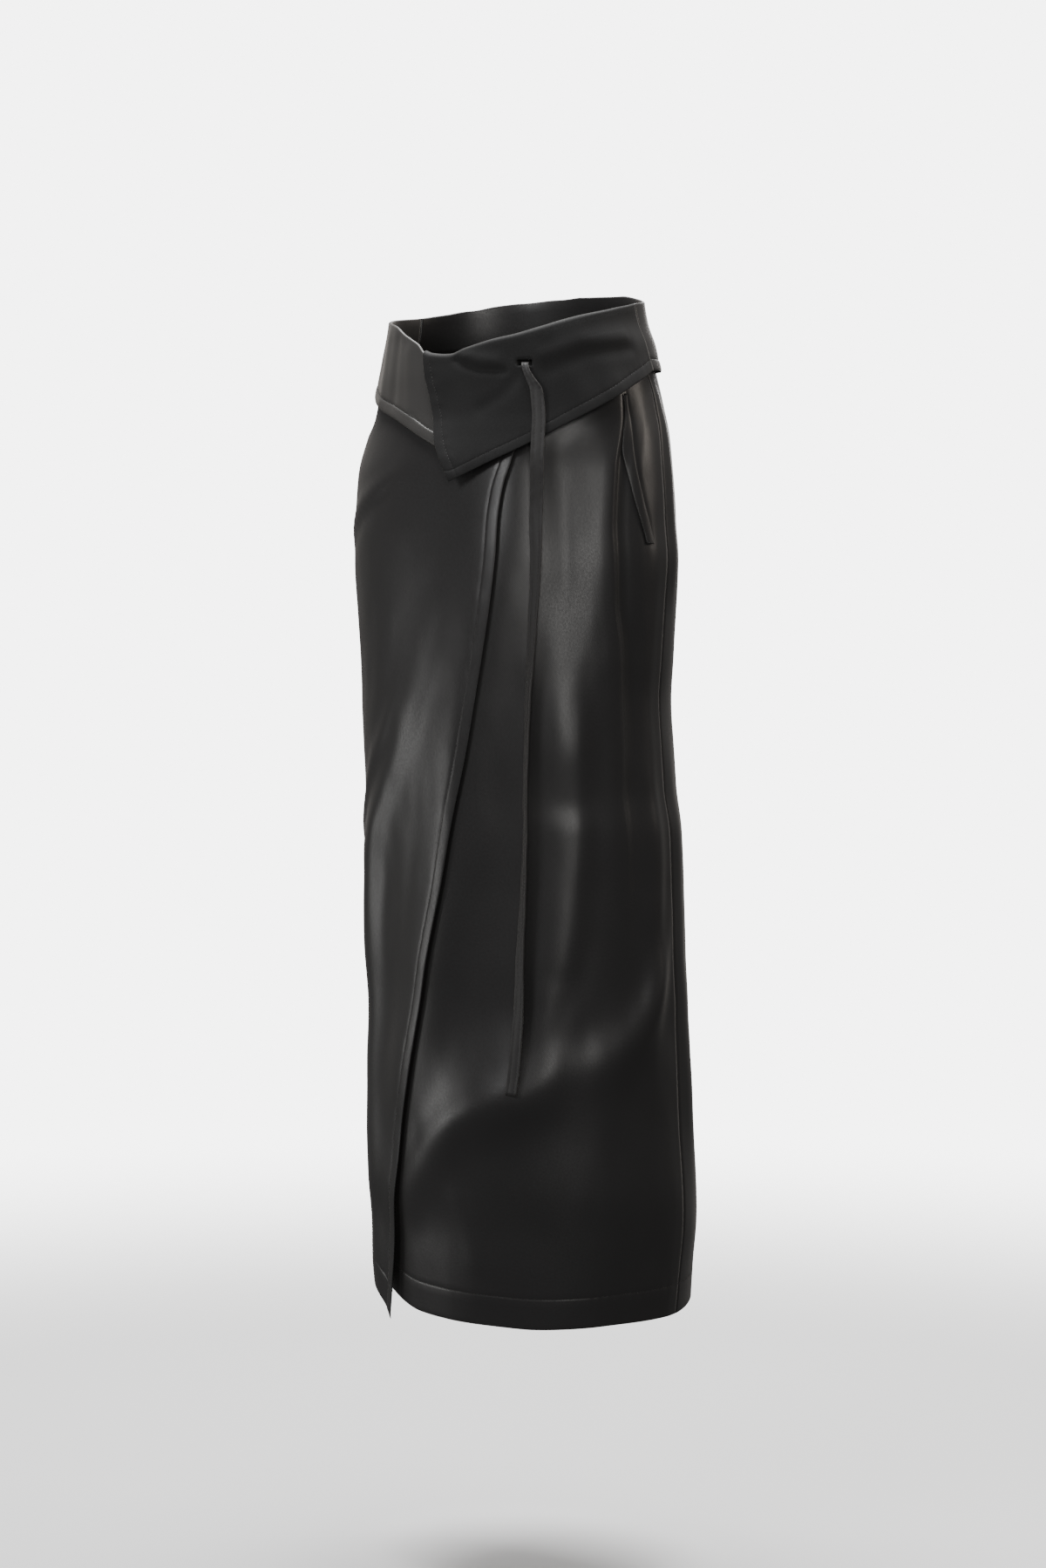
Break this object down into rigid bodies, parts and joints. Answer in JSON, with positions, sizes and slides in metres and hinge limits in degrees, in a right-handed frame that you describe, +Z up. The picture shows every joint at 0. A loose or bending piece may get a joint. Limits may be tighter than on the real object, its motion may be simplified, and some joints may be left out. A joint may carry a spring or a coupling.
{
  "type": "wrap skirt",
  "caption": "Long satin wrap skirt, worn form: fold-over waistband with a pointed flap, buttonholed flat tie, slanting front edge, deep tuck and slanting welt pocket.",
  "frame": {"origin": "middle of the waist opening, at the height of the fold at centre front, where the wearer's waist holds the skirt", "axes": "+Z up along the body, -Y the way the wearer faces, +X the wearer's left"},
  "size_m": [0.3393, 0.2782, 0.9595],
  "materials": {
    "satin": "satin weave, soft sheen",
    "reverse": "matt reverse of the satin"
  },
  "bodies": {
    "root": {"right_front": "satin", "left_front": "satin", "back": "satin", "right_band": "satin", "left_band": "reverse", "back_band": "satin", "pocket_welt": "satin", "tie": "reverse"}
  },
  "joints": []
}
